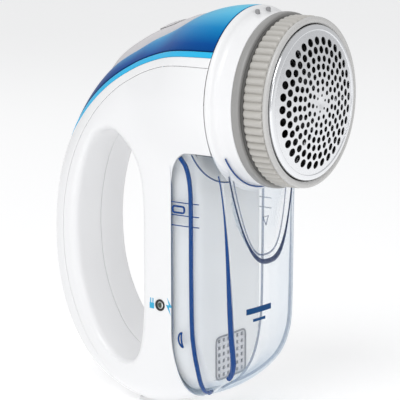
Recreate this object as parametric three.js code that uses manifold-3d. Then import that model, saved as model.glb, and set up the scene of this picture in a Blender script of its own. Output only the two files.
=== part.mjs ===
// Rechargeable fabric shaver: a loop-handled body with a round shaving head and a clear lint bin.
// Millimetres. +Z is up, the head faces -Y and X = 0 is the mirror plane. The origin lies at the
// lowest level, below the middle of the finished assembly.
import * as THREE from "three";
import { mergeVertices } from "three/addons/utils/BufferGeometryUtils.js";
import Module from "manifold-3d";

const wasm = await Module();
wasm.setup();

// ---- Driving dimensions ----
const GAP = 0.3; // clearance between neighbouring pieces
const HEAD_Z = 132; // height of the head's axis
const COLLAR_R = 37.2; // largest radius of the head
const SHELL_FRONT = -36.2; // front edge of the body shells on the head
const DOME_LENGTH = 48; // how far the head's dome reaches back from the front edge
const SHELL_WALL = 2.2;
const MIDDLE_Y = 2.07; // moves the finished assembly so that Y = 0 is the middle of its length
const SKIN = 1.3; // thickness of the coloured top panel
const CORE_HALF = 23.9; // half width of the column inside the bin
const CORE_FRONT = -24; // front face of the column inside the bin
const CORE_DROP = 2.6; // how far the column lies inside the body's outer form
const BIN_REAR = -12.9; // rear edge of the bin's skirt
const BIN_TOP = 112.3;
const BIN_WALL = 1.8;
const NECK_R = 33.6; // neck between the shells and the head rings
const CHAMBER_R = 31.4; // cutting chamber inside the neck
const FLANGE_FRONT = -50.5;
const DIAL_REAR = -52.7;
const DIAL_FRONT = -60.9;
const RING_FACE = -62.5; // front face of the guard ring
const FOIL_R = 28.5;
const FOIL_EDGE = -63.4; // front of the foil at its rim
const FOIL_RISE = 3.2; // height of the foil's dome
const FOIL_THICK = 0.5;
const LOOP_STEPS = 40;
const ROUND_STEPS = 40;

// ---- Geometry helpers ----
function solidOf(geometry) {
  const bare = new THREE.BufferGeometry();
  const flat = geometry.index ? geometry.toNonIndexed() : geometry;
  bare.setAttribute("position", flat.getAttribute("position"));
  const merged = mergeVertices(bare, 1e-4);
  const vertProperties = new Float32Array(merged.attributes.position.array);
  const triVerts = new Uint32Array(merged.index.array);
  const made = new wasm.Manifold(new wasm.Mesh({ numProp: 3, vertProperties, triVerts }));
  if (made.volume() > 0) return made;
  for (let i = 0; i < triVerts.length; i += 3) {
    [triVerts[i + 1], triVerts[i + 2]] = [triVerts[i + 2], triVerts[i + 1]];
  }
  return new wasm.Manifold(new wasm.Mesh({ numProp: 3, vertProperties, triVerts }));
}

function geometryOf(solid) {
  const mesh = solid.getMesh();
  const positions = new Float32Array(mesh.numVert * 3);
  for (let i = 0; i < mesh.numVert; i++) {
    positions.set(mesh.vertProperties.subarray(i * mesh.numProp, i * mesh.numProp + 3), i * 3);
  }
  const geometry = new THREE.BufferGeometry();
  geometry.setAttribute("position", new THREE.BufferAttribute(positions, 3));
  geometry.setIndex(new THREE.BufferAttribute(new Uint32Array(mesh.triVerts), 1));
  geometry.computeVertexNormals();
  return geometry;
}

function box(x0, x1, y0, y1, z0, z1) {
  const geometry = new THREE.BoxGeometry(x1 - x0, y1 - y0, z1 - z0);
  geometry.translate((x0 + x1) / 2, (y0 + y1) / 2, (z0 + z1) / 2);
  return solidOf(geometry);
}

// A closed profile of [radius, y] pairs turned about the head's axis.
function turned(profile, steps = ROUND_STEPS) {
  const points = profile.map(([r, y]) => new THREE.Vector2(r, y));
  points.push(points[0].clone());
  const geometry = new THREE.LatheGeometry(points, steps);
  geometry.translate(0, 0, HEAD_Z);
  return solidOf(geometry);
}

// A cylinder along Y on the head's axis, or about another axis with across = its x and z.
function rodY(r, y0, y1, steps = ROUND_STEPS, across = [0, HEAD_Z]) {
  const geometry = new THREE.CylinderGeometry(r, r, y1 - y0, steps);
  geometry.translate(across[0], (y0 + y1) / 2, across[1]);
  return solidOf(geometry);
}

function rodX(r, x0, x1, y, z, steps = 12) {
  const geometry = new THREE.CylinderGeometry(r, r, x1 - x0, steps);
  geometry.rotateZ(Math.PI / 2);
  geometry.translate((x0 + x1) / 2, y, z);
  return solidOf(geometry);
}

function ringOf(outer, inner, y0, y1, steps = ROUND_STEPS) {
  return turned([[inner, y0], [outer, y0], [outer, y1], [inner, y1]], steps);
}

// An outline of [y, z] points stretched along X.
function prismX(points, x0, x1) {
  const shape = new THREE.Shape(points.map(([y, z]) => new THREE.Vector2(y, z)));
  const geometry = new THREE.ExtrudeGeometry(shape, { depth: x1 - x0, bevelEnabled: false });
  const place = new THREE.Matrix4().set(0, 0, 1, x0, 1, 0, 0, 0, 0, 1, 0, 0, 0, 0, 0, 1);
  geometry.applyMatrix4(place);
  return solidOf(geometry);
}

// Rows of points, each row a closed ring. The rows close on each other or end in flat caps.
function loft(rows, closed) {
  const across = rows[0].length;
  const points = rows.flat();
  const index = [];
  const last = closed ? rows.length : rows.length - 1;
  for (let i = 0; i < last; i++) {
    const next = (i + 1) % rows.length;
    for (let j = 0; j < across; j++) {
      const k = (j + 1) % across;
      const [a, b, c, d] = [i * across + j, next * across + j, next * across + k, i * across + k];
      index.push(a, b, c, a, c, d);
    }
  }
  if (!closed) {
    for (const row of [0, rows.length - 1]) {
      const middle = rows[row].reduce((sum, p) => sum.add(p), new THREE.Vector3());
      points.push(middle.divideScalar(across));
      for (let j = 0; j < across; j++) {
        const [a, b] = [row * across + j, row * across + ((j + 1) % across)];
        index.push(...(row ? [points.length - 1, b, a] : [points.length - 1, a, b]));
      }
    }
  }
  const geometry = new THREE.BufferGeometry();
  const positions = new Float32Array(points.flatMap((p) => [p.x, p.y, p.z]));
  geometry.setAttribute("position", new THREE.BufferAttribute(positions, 3));
  geometry.setIndex(index);
  return solidOf(geometry);
}

// A smooth line of [y, z] points, moved sideways to its right by a distance.
function curveOf(points, steps, inward) {
  const line = new THREE.SplineCurve(points.map(([y, z]) => new THREE.Vector2(y, z)));
  const curve = [];
  for (let i = 0; i <= steps; i++) {
    const at = line.getPoint(i / steps);
    const along = line.getTangent(i / steps);
    curve.push([at.x + along.y * inward, at.y - along.x * inward]);
  }
  return curve;
}

// ---- The body's outer form ----
// Stations round the finger loop, starting on the column's front. Each is [outer y, outer z, inner y,
// inner z, half width, where the section is widest from 0 inside to 1 outside, roundness outside].
const STATIONS = [
  [-28, 66, 3.6, 68, 26.5, 0.5, 4.6],
  [-28, 88, 3.6, 86, 26.5, 0.5, 4.6],
  [-26, 108, 5.2, 100, 26.5, 0.5, 4.2],
  [-23, 128, 9.5, 108, 27, 0.5, 3.2],
  [-15, 150, 14, 112.6, 26.4, 0.45, 2.6],
  [3, 157.2, 19.5, 115.4, 24.4, 0.4, 2.2],
  [19, 149.8, 25, 116.2, 21.5, 0.34, 2.2],
  [32.6, 140.6, 31, 114.3, 19, 0.3, 2.2],
  [43.8, 128.4, 36.8, 108.8, 17.6, 0.3, 2.2],
  [53.4, 112.4, 41, 99, 17, 0.3, 2.2],
  [60, 95, 43.4, 87, 17, 0.3, 2.2],
  [62.5, 75, 44, 73, 17, 0.3, 2.2],
  [61.4, 52.5, 42.3, 55, 17.2, 0.3, 2.2],
  [55.6, 32, 37, 38.5, 18, 0.32, 2.2],
  [44.2, 14.4, 29.5, 27.5, 19.5, 0.36, 2.2],
  [31, 5.2, 22.5, 22.3, 21.5, 0.36, 2.1],
  [15, -0.6, 16, 19.8, 23.2, 0.34, 2.1],
  [4, -0.2, 10.5, 20, 24.8, 0.3, 2.1],
  [-11, 4.6, 6.2, 24, 26, 0.26, 2],
  [-21.5, 8.4, 4.2, 33, 26.4, 0.3, 2.1],
  [-28.5, 13.5, 3.6, 43, 26.5, 0.42, 2.6],
  [-28, 42, 3.6, 56, 26.5, 0.5, 4.4],
];
const SECTION_STEPS = 16;
const throughStations = (pick) =>
  new THREE.CatmullRomCurve3(STATIONS.map((s) => new THREE.Vector3(...pick(s))), true, "catmullrom", 0.5);
const outerLine = throughStations((s) => [s[0], s[1], s[4]]);
const innerLine = throughStations((s) => [s[2], s[3], s[5]]);
const roundLine = throughStations((s) => [s[6], 0, 0]);

const power = (v, n) => Math.sign(v) * Math.abs(v) ** (2 / n);

// The finger loop's solid, its surface moved inwards by inset.
function fingerLoop(inset) {
  const rows = [];
  for (let i = 0; i < LOOP_STEPS; i++) {
    const outer = outerLine.getPoint(i / LOOP_STEPS);
    const inner = innerLine.getPoint(i / LOOP_STEPS);
    const from = new THREE.Vector2(inner.x, inner.y);
    const along = new THREE.Vector2(outer.x, outer.y).sub(from);
    const length = along.length();
    along.divideScalar(length);
    const widest = inner.z * length;
    const outerRoundness = roundLine.getPoint(i / LOOP_STEPS).x;
    const row = [];
    for (let j = 0; j < SECTION_STEPS; j++) {
      const angle = ((j + 0.5) / SECTION_STEPS) * 2 * Math.PI;
      const outward = Math.cos(angle) > 0;
      const roundness = outward ? outerRoundness : 3.6;
      const reach = (outward ? length - widest : widest) - inset;
      const u = widest + reach * power(Math.cos(angle), roundness);
      const x = (outer.z - inset) * power(Math.sin(angle), roundness);
      row.push(new THREE.Vector3(x, from.x + along.x * u, from.y + along.y * u));
    }
    rows.push(row);
  }
  return loft(rows, true);
}

// The head's half-egg dome, its surface moved inwards by inset and its mouth at front.
function headDome(inset, front) {
  const profile = [[0, front], [COLLAR_R - inset, front]];
  const steps = 9;
  for (let i = 1; i < steps; i++) {
    const angle = (i / steps) * (Math.PI / 2);
    profile.push([
      (COLLAR_R - inset) * Math.cos(angle),
      SHELL_FRONT + (DOME_LENGTH - inset) * Math.sin(angle),
    ]);
  }
  profile.push([0, SHELL_FRONT + DOME_LENGTH - inset]);
  return turned(profile);
}

const OPEN_FRONT = SHELL_FRONT - 5;
function bodyForm(inset, front = SHELL_FRONT) {
  return fingerLoop(inset).add(headDome(inset, front)).subtract(box(-60, 60, -90, 90, -20, inset));
}

// The bin's outline from the side: its top edge, rounded rear corner and straight rear edge.
const BIN_LINE = [
  [-90, BIN_TOP], [-55, BIN_TOP], [-28, BIN_TOP], [-20.5, 111.2], [-15.6, 107.2], [-13.3, 101.5],
  [BIN_REAR, 92], [BIN_REAR, 70], [BIN_REAR, 40], [BIN_REAR, 20], [BIN_REAR, -20],
];
const insideBin = (inward) => prismX([...curveOf(BIN_LINE, 30, inward), [-90, -20]], -60, 60);
// The space round the column that the lint bin fills, with the column left standing in it.
function binSpace(grow) {
  const column = box(-CORE_HALF + grow, CORE_HALF - grow, CORE_FRONT + grow, 40, -30, 140).intersect(
    bodyForm(CORE_DROP + grow, OPEN_FRONT),
  );
  const throat = rodY(NECK_R + GAP + SHELL_WALL - grow, CORE_FRONT + grow, 40);
  return insideBin(-grow).subtract(column.add(throat));
}

// ---- Parting lines, seen from the side, as [y, z] ----
const SPINE_LINE = [
  [-60, 145], [-36, 147], [-10, 145.5], [12, 138], [27, 128], [38, 116], [45.5, 102], [50, 84],
  [50.5, 66], [47.5, 48], [40.5, 31], [31.5, 18.5], [27, 10], [28, 3], [33, -8],
];
const PANEL_LINE = [
  [-60, 152], [-36, 153], [-12, 151.5], [8, 146], [24, 138], [38, 127.5], [49, 116], [58, 105], [70, 92],
];
// Everything further out than a line moved inwards by a distance.
function outside(line, steps, inward = 0) {
  const curve = curveOf(line, steps, inward);
  const end = curve[curve.length - 1][1];
  return prismX([...curve, [110, end], [110, 210], [-60, 210]], -60, 60);
}

// ---- Body pieces ----
const form = bodyForm(0);
const cavity = bodyForm(SHELL_WALL, OPEN_FRONT);
const headRoom = rodY(NECK_R + 0.8, OPEN_FRONT, -21.7);
const hollow = form
  .subtract(binSpace(0))
  .subtract(cavity.subtract(binSpace(SHELL_WALL)))
  .subtract(headRoom);
const ACCENT_WIDTH = 2.2;
const spineZone = outside(SPINE_LINE, 30);
const spineClear = outside(SPINE_LINE, 30, GAP);
const panelZone = outside(PANEL_LINE, 22);
const panelClear = outside(PANEL_LINE, 22, GAP);
const accentZone = outside(PANEL_LINE, 22, ACCENT_WIDTH);
const accentClear = outside(PANEL_LINE, 22, ACCENT_WIDTH + GAP);
const skinForm = bodyForm(SKIN, OPEN_FRONT);
const seatForm = bodyForm(SKIN + GAP, OPEN_FRONT);

// The switch stands in a long oval plate let into the top panel.
const SWITCH_POS = [0, 5, 156.7];
const SWITCH_SLOPE = -0.42; // radians, the fall of the top towards the handle
const KNOB_TRAVEL = 6;
function onTop(geometry) {
  geometry.rotateX(SWITCH_SLOPE);
  geometry.translate(...SWITCH_POS);
  return solidOf(geometry);
}
function ovalOnTop(halfWidth, halfLength, n0, n1) {
  const geometry = new THREE.CylinderGeometry(1, 1, n1 - n0, 28);
  geometry.rotateX(Math.PI / 2);
  geometry.scale(halfWidth, halfLength, 1);
  geometry.translate(0, 0, (n0 + n1) / 2);
  return onTop(geometry);
}
function blockOnTop(width, length, v, n0, n1) {
  const geometry = new THREE.BoxGeometry(width, length, n1 - n0);
  geometry.translate(0, v, (n0 + n1) / 2);
  return onTop(geometry);
}
const plateZone = ovalOnTop(8, 20, -12, 14);
const plateClear = ovalOnTop(8 + GAP, 20 + GAP, -12, 14);
const slot = blockOnTop(4.6, 6 + KNOB_TRAVEL + 1, KNOB_TRAVEL / 2, -12, 14);

// Screws that draw the right shell onto the left one. Each has the x of its head's seat, and a web
// that may reach from its boss to the finger side. The two in the handle lie under the spine.
const SCREWS = [
  { y: -6, z: 96, seat: 12, web: 0 },
  { y: -6, z: 16, seat: 8, web: 0 },
  { y: 52, z: 96, seat: 6, web: 9 },
  { y: 50.5, z: 46, seat: 6, web: 9 },
];
const SCREW = { shank: 1.1, head: 2.5, headHeight: 1.8, reach: 12 };
const bossRoom = bodyForm(SHELL_WALL + 1).subtract(binSpace(0));
const webRoom = form.subtract(spineClear).add(bossRoom);
function boss({ y, z, web }, side) {
  const [x0, x1] = side > 0 ? [GAP / 2, 30] : [-30, -GAP / 2];
  const pillar = rodX(3.8, x0, x1, y, z);
  if (!web) return pillar.intersect(form).subtract(binSpace(0));
  const rib = box(x0, x1, y - web, y, z - 1.2, z + 1.2).intersect(webRoom);
  return pillar.intersect(bossRoom).add(rib);
}
function rightBore({ y, z, seat }) {
  return rodX(SCREW.shank + GAP, -1, 40, y, z).add(rodX(SCREW.head + GAP, seat, 60, y, z));
}
function leftBore({ y, z }) {
  return rodX(SCREW.shank + GAP, -SCREW.reach, 1, y, z);
}

const GRILLE = { half: 11, low: 15, high: 33.5 };
const grilleHole = box(-GRILLE.half, GRILLE.half, CORE_FRONT - 3, CORE_FRONT + 3, GRILLE.low, GRILLE.high);
const chute = box(-14, 14, -37, -26, 92, 108);
const LED = { y: -7.2, z: 48, r: 2.4 };
const ledHole = rodX(LED.r + GAP, -40, -18, LED.y, LED.z, 20);

const INLET = { y: 50.2, z: 24.6, turn: 0.6 }; // centre on the body's surface and tilt of the socket
function atInlet(geometry) {
  geometry.rotateX(-INLET.turn);
  geometry.translate(0, INLET.y, INLET.z);
  return solidOf(geometry);
}
function inletBlock(width, height, y0, y1, x = 0) {
  const geometry = new THREE.BoxGeometry(width, y1 - y0, height);
  geometry.translate(x, (y0 + y1) / 2, 0);
  return atInlet(geometry);
}
const inletClear = inletBlock(15 + 2 * GAP, 8.6 + 2 * GAP, -13, 12);

// A soft pad set into the bottom of the body.
const PAD = { halfX: 8, y0: 3, y1: 17, height: 1.6 };
const basePad = (grow) =>
  box(-PAD.halfX - grow, PAD.halfX + grow, PAD.y0 - grow, PAD.y1 + grow, -grow, PAD.height + grow);
const padClear = basePad(GAP);

function shell(side) {
  const far = 70 * side;
  const half = box(Math.min(side * GAP * 0.5, far), Math.max(side * GAP * 0.5, far), -95, 95, -20, 200);
  let made = hollow.subtract(spineClear);
  for (const screw of SCREWS) made = made.add(boss(screw, side));
  for (const screw of SCREWS) made = made.subtract(side > 0 ? rightBore(screw) : leftBore(screw));
  for (const opening of [grilleHole, chute, inletClear, padClear]) made = made.subtract(opening);
  made = made.intersect(half);
  return largest(side < 0 ? made.subtract(ledHole) : made);
}

// The biggest body of a solid: a cut can leave slivers beside it.
function largest(solid) {
  const bodies = solid.decompose();
  return bodies.reduce((best, body) => (body.volume() > best.volume() ? body : best));
}

function spineCover() {
  const wall = form.subtract(bodyForm(SHELL_WALL + 0.4, OPEN_FRONT)).intersect(spineZone);
  const seat = accentClear.subtract(seatForm);
  return largest(wall.subtract(seat).subtract(slot).subtract(inletClear).subtract(headRoom));
}

function topPanel() {
  return largest(form.subtract(skinForm).intersect(panelZone).subtract(plateClear));
}

function accent(side) {
  const band = form.subtract(skinForm).intersect(accentZone).subtract(panelClear);
  const half = side < 0 ? box(-70, -0.2, -95, 95, 0, 200) : box(0.2, 70, -95, 95, 0, 200);
  return largest(band.intersect(half));
}

function switchPlate() {
  return largest(form.subtract(skinForm).intersect(plateZone).subtract(slot));
}

function switchKnob() {
  const cap = blockOnTop(7, 9, 0, 0.5, 1.7);
  const stem = blockOnTop(3.6, 5, 0, -4.8, 0.6);
  let made = cap.add(stem);
  for (const v of [-3, -1, 1, 3]) made = made.subtract(blockOnTop(8, 0.8, v, 1.2, 4));
  return made;
}

const slideSwitch = () => blockOnTop(9, 17, KNOB_TRAVEL / 2, -10.6, -5.6);

// ---- The head ----
function headCollar() {
  const profile = [
    [CHAMBER_R, -24.6], [NECK_R, -24.6], [NECK_R, SHELL_FRONT + 1.4], [34, SHELL_FRONT + 1.4],
    [34, SHELL_FRONT - GAP], [COLLAR_R, SHELL_FRONT - GAP], [COLLAR_R, -37.4], [36.6, -38.4],
    [35.2, -39], [34.3, -40], [34, -42], [33.7, -47.2], [CHAMBER_R, -47.2],
  ];
  // Below the bin's top edge the collar's rim gives way to the bin.
  const rimCut = box(-60, 60, -41, SHELL_FRONT + 3, 60, BIN_TOP + GAP).subtract(rodY(NECK_R, -60, 0));
  return turned(profile).subtract(rimCut).subtract(chute);
}

function baseFlange() {
  return turned([
    [CHAMBER_R, -47.5], [34.6, -47.5], [34.6, -50], [34.1, FLANGE_FRONT], [32.2, FLANGE_FRONT],
    [32.2, -56], [CHAMBER_R, -56],
  ]);
}

// The knurled dial: 36 ribs round a thin sleeve.
function heightDial() {
  const ribs = 36;
  const points = [];
  for (let i = 0; i < ribs * 2; i++) {
    const r = i % 2 ? 33.6 : 33.1;
    const angle = (i / ribs) * Math.PI;
    points.push(new THREE.Vector2(r * Math.cos(angle), r * Math.sin(angle)));
  }
  const depth = DIAL_REAR - DIAL_FRONT;
  const geometry = new THREE.ExtrudeGeometry(new THREE.Shape(points), { depth, bevelEnabled: false });
  geometry.rotateX(Math.PI / 2);
  geometry.translate(0, DIAL_REAR, HEAD_Z);
  return solidOf(geometry).subtract(rodY(32.5, -70, -40));
}

function guardRing() {
  return turned([
    [30.8, RING_FACE + 0.5], [31.3, RING_FACE], [33.2, RING_FACE], [33.9, RING_FACE + 0.6],
    [33.8, DIAL_FRONT - GAP], [32.2, DIAL_FRONT - GAP], [32.2, -57.5], [31.2, -57.5], [30.8, -59],
  ]);
}

function foilFrame() {
  return turned([
    [28.8, -54], [30.5, -54], [30.5, -62.9], [30, -63.5], [29.3, -63.7], [28.8, -63.5],
  ]);
}

// The front of the domed foil at radius r, as y.
const foilY = (r) => FOIL_EDGE - FOIL_RISE * (1 - (r / FOIL_R) ** 2);
// Rings of holes as [radius, number of holes, hole radius].
const HOLE_RINGS = [[24.4, 24, 1.5], [20.4, 24, 1.35], [15.8, 18, 1.35], [11.2, 12, 1.35], [6.6, 6, 1.3]];
function shavingFoil() {
  const radii = [FOIL_R, 22.2, 17.9, 13.4, 8.9, 3];
  const front = radii.map((r) => [r, foilY(r)]);
  const back = radii.map((r) => [r, foilY(r) + FOIL_THICK]).reverse();
  let foil = turned([...front, [0, foilY(0)], [0, foilY(0) + FOIL_THICK], ...back], 32);
  for (const [radius, count, hole] of HOLE_RINGS) {
    for (let i = 0; i < count; i++) {
      const angle = ((i + 0.5 * (radius > 22 ? 1 : 0)) / count) * 2 * Math.PI;
      const at = [radius * Math.cos(angle), HEAD_Z + radius * Math.sin(angle)];
      foil = foil.subtract(rodY(hole, -72, -60, 6, at));
    }
  }
  return foil;
}

// ---- Rotor ----
const BLADE_TIP = 27;
function blade(turn) {
  const top = [BLADE_TIP, 20, 12, 6.5].map((r) => [r, foilY(r) + FOIL_THICK + 0.4]);
  const outline = [[6.5, -58], [BLADE_TIP, -57.5], ...top];
  const shape = new THREE.Shape(outline.map(([r, y]) => new THREE.Vector2(r, y)));
  const geometry = new THREE.ExtrudeGeometry(shape, { depth: 0.8, bevelEnabled: false });
  geometry.translate(0, 0, -0.4);
  geometry.rotateY(turn);
  geometry.translate(0, 0, HEAD_Z);
  return solidOf(geometry);
}

function bladeHub() {
  const hub = turned([[0, -63.6], [5.2, -63.2], [6, -62], [6, -57.4], [10, -57], [10, -55], [4, -55],
    [4, -50], [0, -50]], 24);
  return hub.subtract(rodY(1.5, -57, -40, 12));
}

function hubSpring() {
  const turns = 4;
  const points = [];
  for (let i = 0; i <= turns * 10; i++) {
    const angle = (i / 10) * 2 * Math.PI;
    const y = -45.6 - (i / (turns * 10)) * 3.6;
    points.push(new THREE.Vector3(2.6 * Math.cos(angle), y, 2.6 * Math.sin(angle)));
  }
  const wire = new THREE.Shape();
  wire.absarc(0, 0, 0.35, 0, 2 * Math.PI);
  const extrudePath = new THREE.CatmullRomCurve3(points);
  const geometry = new THREE.ExtrudeGeometry(wire, { steps: turns * 10, extrudePath, curveSegments: 3 });
  geometry.translate(0, 0, HEAD_Z);
  return solidOf(geometry);
}

function fanWheel() {
  let wheel = turned([[1.6, -34], [27, -34], [27, -35.4], [6, -35.4], [5, -44], [1.6, -44]], 36);
  const vanes = 8;
  for (let i = 0; i < vanes; i++) {
    const geometry = new THREE.BoxGeometry(20, 7, 1);
    geometry.translate(15.5, -38.4, 0);
    geometry.rotateY((i / vanes) * 2 * Math.PI);
    geometry.translate(0, 0, HEAD_Z);
    wheel = wheel.add(solidOf(geometry));
  }
  return wheel;
}

// ---- Motor ----
const MOTOR_SCREWS = [-9, 9];
function motorPlate() {
  let plate = ringOf(33, 4, -24.2, -22);
  for (const x of MOTOR_SCREWS) plate = plate.subtract(rodY(1.3 + GAP, -30, -20, 12, [x, HEAD_Z]));
  return plate;
}
function motorCan() {
  let can = turned([[0, -21.7], [11.4, -21.7], [12, -21], [12, 3], [0, 3]], 32);
  for (const x of MOTOR_SCREWS) can = can.subtract(rodY(1.3 + GAP, -30, -17, 12, [x, HEAD_Z]));
  return can.subtract(rodY(1.2 + GAP, -30, -17, 12));
}
function motorScrew(x) {
  const head = rodY(2.4, -25.6, -24.5, 12, [x, HEAD_Z]);
  return head.add(rodY(1.3, -24.6, -18, 12, [x, HEAD_Z]));
}

// ---- Lint bin ----
// Levels of the bin: [z, y of the front, half widths at the rear edge, halfway and at the front].
const BIN_LEVELS = [
  [6.2, -15.8, 7, 6, 4], [8.6, -21.8, 12, 10.4, 6], [12, -28.6, 16.4, 14.4, 9],
  [16, -34.4, 19.6, 17.8, 11.8], [20, -38.4, 21.8, 20.2, 14], [24.5, -41.2, 23.6, 22.2, 16.8],
  [31, -42.8, 25.2, 24.2, 19.6], [40, -43.3, 26.2, 25.7, 21.6], [64, -42.9, 26.5, 26.3, 22.9],
  [84, -42.2, 26.5, 26.5, 24.2], [98, -41.6, 26.6, 26.9, 26], [106, -41.2, 27.2, 28, 28.2],
  [BIN_TOP - GAP, -40.8, 28, 29.8, 31.4],
];
function binRow([z, frontY, rear, middle, front], inset) {
  const rearY = inset > 0 ? BIN_REAR + 8 : BIN_REAR + GAP;
  const y = frontY + inset;
  const halfway = Math.max(-24, (y + BIN_REAR) / 2);
  const bow = Math.min((BIN_REAR - y) / 4, 2.6);
  const turn = Math.min((BIN_REAR - y) / 4, 2.4);
  const half = [
    [rear, rearY], [rear, BIN_REAR], [middle, halfway], [front + 0.4, y + bow + turn],
    [front, y + bow + turn * 0.4], [front * 0.93, y + bow * 0.9], [front * 0.72, y + bow * 0.5],
    [front * 0.38, y + bow * 0.14],
  ].map(([x, v]) => [Math.max(x - inset, 1), v]);
  const mirrored = half.map(([x, v]) => [-x, v]).reverse();
  return [...half, [0, y], ...mirrored].map(([x, v]) => new THREE.Vector3(x, v, z));
}
function binForm(inset) {
  const rows = BIN_LEVELS.map((level) => binRow(level, inset));
  if (inset > 0) {
    rows.slice(0, 6).forEach((row) => row.forEach((p) => (p.z += inset)));
    rows.push(rows[rows.length - 1].map((p) => new THREE.Vector3(p.x, p.y, BIN_TOP + 6)));
  }
  return loft(rows, false);
}
// A thumb scoop in the front wall, deepest at its lower end.
function thumbScoop(grow) {
  const shape = new THREE.Shape();
  const half = 20 + grow;
  shape.moveTo(-half, 30);
  for (let i = 0; i <= 16; i++) {
    const x = -half + (i / 16) * 2 * half;
    shape.lineTo(x, (34 + grow) * (Math.abs(x / half) ** 2.6 - 1));
  }
  shape.lineTo(half, 30);
  const geometry = new THREE.ExtrudeGeometry(shape, { depth: 14, bevelEnabled: false });
  geometry.rotateX(Math.PI / 2);
  geometry.rotateX(-0.06);
  geometry.translate(0, -39.2 + grow, 100);
  return solidOf(geometry);
}
function lintBin() {
  // Towards the rear edge the bin carries on the body's own form.
  const rear = (inset) => bodyForm(inset, OPEN_FRONT).intersect(box(-60, 60, CORE_FRONT, 0, -20, 60));
  const outside = binForm(0).add(rear(0));
  const inside = binForm(BIN_WALL).subtract(thumbScoop(BIN_WALL)).add(rear(BIN_WALL));
  const column = box(-CORE_HALF - GAP, CORE_HALF + GAP, CORE_FRONT - GAP, 40, -30, 140).intersect(
    bodyForm(CORE_DROP - GAP, OPEN_FRONT),
  );
  const neck = rodY(34.9, -80, 10).add(rodY(NECK_R + SHELL_WALL + 2 * GAP, CORE_FRONT - GAP, 10));
  const bin = outside.subtract(thumbScoop(0)).subtract(inside).intersect(insideBin(GAP));
  return largest(bin.subtract(column).subtract(neck));
}

function ventGrille() {
  const half = GRILLE.half - GAP;
  let plate = box(-half, half, CORE_FRONT, CORE_FRONT + 1.6, GRILLE.low + GAP, GRILLE.high - GAP);
  const [columns, rows] = [6, 6];
  for (let i = 0; i < columns; i++) {
    for (let j = 0; j < rows; j++) {
      const x = (i - (columns - 1) / 2) * 3.3;
      const z = (GRILLE.low + GRILLE.high) / 2 + (j - (rows - 1) / 2) * 2.9;
      plate = plate.subtract(box(x - 0.8, x + 0.8, CORE_FRONT - 2, CORE_FRONT + 4, z - 0.8, z + 0.8));
    }
  }
  return plate;
}

// ---- Electrics ----
function ledBezel() {
  return rodX(LED.r, -26.4, -21, LED.y, LED.z, 20).subtract(rodX(1.5, -40, -20, LED.y, LED.z, 16));
}
const cell = (x) => turnedUp(7, 34, 82, x, -6.2);
function turnedUp(r, z0, z1, x, y) {
  const points = [[0, z0], [r, z0], [r, z1 - 1.2], [3, z1 - 1.2], [3, z1], [0, z1]];
  const geometry = new THREE.LatheGeometry(points.map(([a, b]) => new THREE.Vector2(a, b)), 20);
  geometry.rotateX(Math.PI / 2);
  geometry.translate(x, y, 0);
  return solidOf(geometry);
}
function acInlet() {
  const body = inletBlock(15, 8.6, -12, -0.4);
  return body.subtract(inletBlock(11.6, 5.4, -8, 4));
}
const inletPin = (x) => inletBlock(1.6, 1.6, -7.7, -2, x);
function shellScrew({ y, z, seat }) {
  const head = rodX(SCREW.head, seat + GAP, seat + SCREW.headHeight, y, z);
  return head.add(rodX(SCREW.shank, -SCREW.reach + 1, seat + 2 * GAP, y, z, 10));
}

// ---- Assembly ----
const WHITE = { color: 0xf2f2f2, roughness: 0.3, metalness: 0 };
const GREY = { color: 0x8c8a88, roughness: 0.5, metalness: 0 };
const BEIGE = { color: 0xc9c4ba, roughness: 0.5, metalness: 0 };
const STEEL = { color: 0xd0d3d6, roughness: 0.25, metalness: 1 };
const BLUE = { color: 0x0a3f96, roughness: 0.15, metalness: 0.6 };
const CYAN = { color: 0x2fb8e6, roughness: 0.2, metalness: 0.2 };
const CLEAR = { color: 0xcfe0f2, roughness: 0.05, metalness: 0, transparent: true, opacity: 0.3 };
const BLACK = { color: 0x202224, roughness: 0.6, metalness: 0 };
const GREEN = { color: 0x1e5a3a, roughness: 0.5, metalness: 0 };
const BRASS = { color: 0xb9974e, roughness: 0.35, metalness: 1 };

const shaver = new THREE.Group();
function place(name, solid, look) {
  const mesh = new THREE.Mesh(geometryOf(solid), new THREE.MeshStandardMaterial(look));
  mesh.geometry.translate(0, MIDDLE_Y, 0);
  mesh.name = name;
  shaver.add(mesh);
}

place("left_shell", shell(-1), WHITE);
place("right_shell", shell(1), WHITE);
place("spine_cover", spineCover(), WHITE);
place("top_panel", topPanel(), BLUE);
place("accent_left", accent(-1), CYAN);
place("accent_right", accent(1), CYAN);
place("switch_plate", switchPlate(), WHITE);
place("switch_knob", switchKnob(), GREY);
place("slide_switch", slideSwitch(), BLACK);
place("head_collar", headCollar(), WHITE);
place("base_flange", baseFlange(), GREY);
place("height_dial", heightDial(), BEIGE);
place("guard_ring", guardRing(), BEIGE);
place("foil_frame", foilFrame(), STEEL);
place("shaving_foil", shavingFoil(), STEEL);
place("blade_hub", bladeHub(), BLACK);
[0, 1, 2].forEach((i) => place(`blade_${i + 1}`, blade((i * 2 * Math.PI) / 3), STEEL));
place("hub_spring", hubSpring(), STEEL);
place("fan_wheel", fanWheel(), BLACK);
place("motor_shaft", rodY(1.2, -56.6, -17.5, 12), STEEL);
place("shaft_bush", ringOf(3.7, 1.5, -24.4, -22, 16), BRASS);
place("motor_plate", motorPlate(), GREY);
place("motor_can", motorCan(), STEEL);
place("motor_endcap", rodY(11, 3.3, 6.5, 24), BLACK);
MOTOR_SCREWS.forEach((x, i) => place(`motor_screw_${i + 1}`, motorScrew(x), STEEL));
place("lint_bin", lintBin(), CLEAR);
place("vent_grille", ventGrille(), GREY);
place("base_pad", basePad(0), BLACK);
[-7.6, 7.6].forEach((x, i) => place(`battery_${i + 1}`, cell(x), GREEN));
place("circuit_board", box(-19, 19, -19.6, -18, 38, 92), GREEN);
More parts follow.
